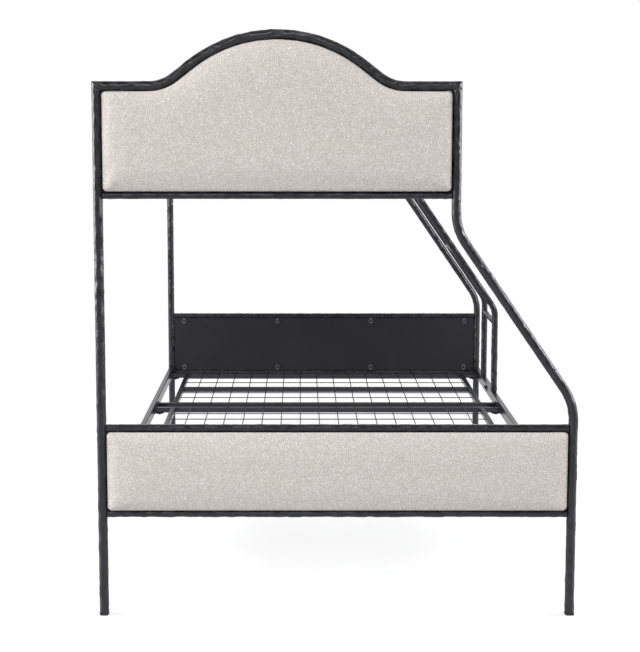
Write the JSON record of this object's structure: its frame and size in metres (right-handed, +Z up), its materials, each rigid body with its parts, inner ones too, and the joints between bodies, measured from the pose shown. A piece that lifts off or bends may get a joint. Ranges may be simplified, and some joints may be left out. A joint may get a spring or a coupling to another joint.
{
  "type": "bunk bed",
  "caption": "Metal bunk bed with a narrow upper bunk over a wide lower one, bent right-hand posts, a built-in ladder, mesh decks and upholstered camel-back end panels.",
  "frame": {"origin": "floor level, at the middle of the bed's outline", "axes": "+Z up, +Y from the foot end to the head end, +X towards the leaning posts and the ladder"},
  "size_m": [1.44, 2.008, 1.759],
  "materials": {
    "hammered_metal": "hammered gunmetal, semi-gloss",
    "smooth_metal": "smooth satin gunmetal",
    "fastener_steel": "blackened",
    "dark_board": "matt charcoal laminate",
    "greige_fabric": "woven boucle upholstery",
    "black_plastic": "moulded"
  },
  "bodies": {
    "root": {"foot_arch_rail": "hammered_metal", "foot_foot_glides": "black_plastic", "foot_left_post": "hammered_metal", "foot_lower_back_board": "dark_board", "foot_lower_pad": "greige_fabric", "foot_lower_panel_bottom_rail": "hammered_metal", "foot_lower_panel_top_rail": "hammered_metal", "foot_panel_screws": "fastener_steel", "foot_panel_tabs": "smooth_metal", "foot_right_post": "hammered_metal", "foot_upper_back_board": "dark_board", "foot_upper_pad": "greige_fabric", "foot_upper_panel_rail": "hammered_metal", "guard_bolts": "fastener_steel", "head_arch_rail": "hammered_metal", "head_foot_glides": "black_plastic", "head_left_post": "hammered_metal", "head_lower_back_board": "dark_board", "head_lower_pad": "greige_fabric", "head_lower_panel_bottom_rail": "hammered_metal", "head_lower_panel_top_rail": "hammered_metal", "head_panel_screws": "fastener_steel", "head_panel_tabs": "smooth_metal", "head_right_post": "hammered_metal", "head_upper_back_board": "dark_board", "head_upper_pad": "greige_fabric", "head_upper_panel_rail": "hammered_metal", "ladder_base_plate": "smooth_metal", "ladder_bolts": "fastener_steel", "ladder_front_stile": "hammered_metal", "ladder_rear_stile": "hammered_metal", "ladder_rungs": "hammered_metal", "ladder_top_plates": "smooth_metal", "left_guard_rails": "smooth_metal", "left_guard_uprights": "smooth_metal", "lower_deck_bolts": "fastener_steel", "lower_deck_brackets": "smooth_metal", "lower_deck_end_tubes": "smooth_metal", "lower_deck_mesh": "smooth_metal", "lower_deck_side_bars": "smooth_metal", "lower_deck_stiffeners": "smooth_metal", "lower_left_side_rail": "smooth_metal", "lower_rail_bolts": "fastener_steel", "lower_rail_tongues": "smooth_metal", "lower_right_side_rail": "smooth_metal", "right_guard_rails": "smooth_metal", "right_guard_uprights": "smooth_metal", "upper_deck_bolts": "fastener_steel", "upper_deck_brackets": "smooth_metal", "upper_deck_end_tubes": "smooth_metal", "upper_deck_mesh": "smooth_metal", "upper_deck_side_bars": "smooth_metal", "upper_deck_stiffeners": "smooth_metal", "upper_left_side_rail": "smooth_metal", "upper_rail_bolts": "fastener_steel", "upper_rail_tongues": "smooth_metal", "upper_right_side_rail": "smooth_metal"}
  },
  "joints": []
}
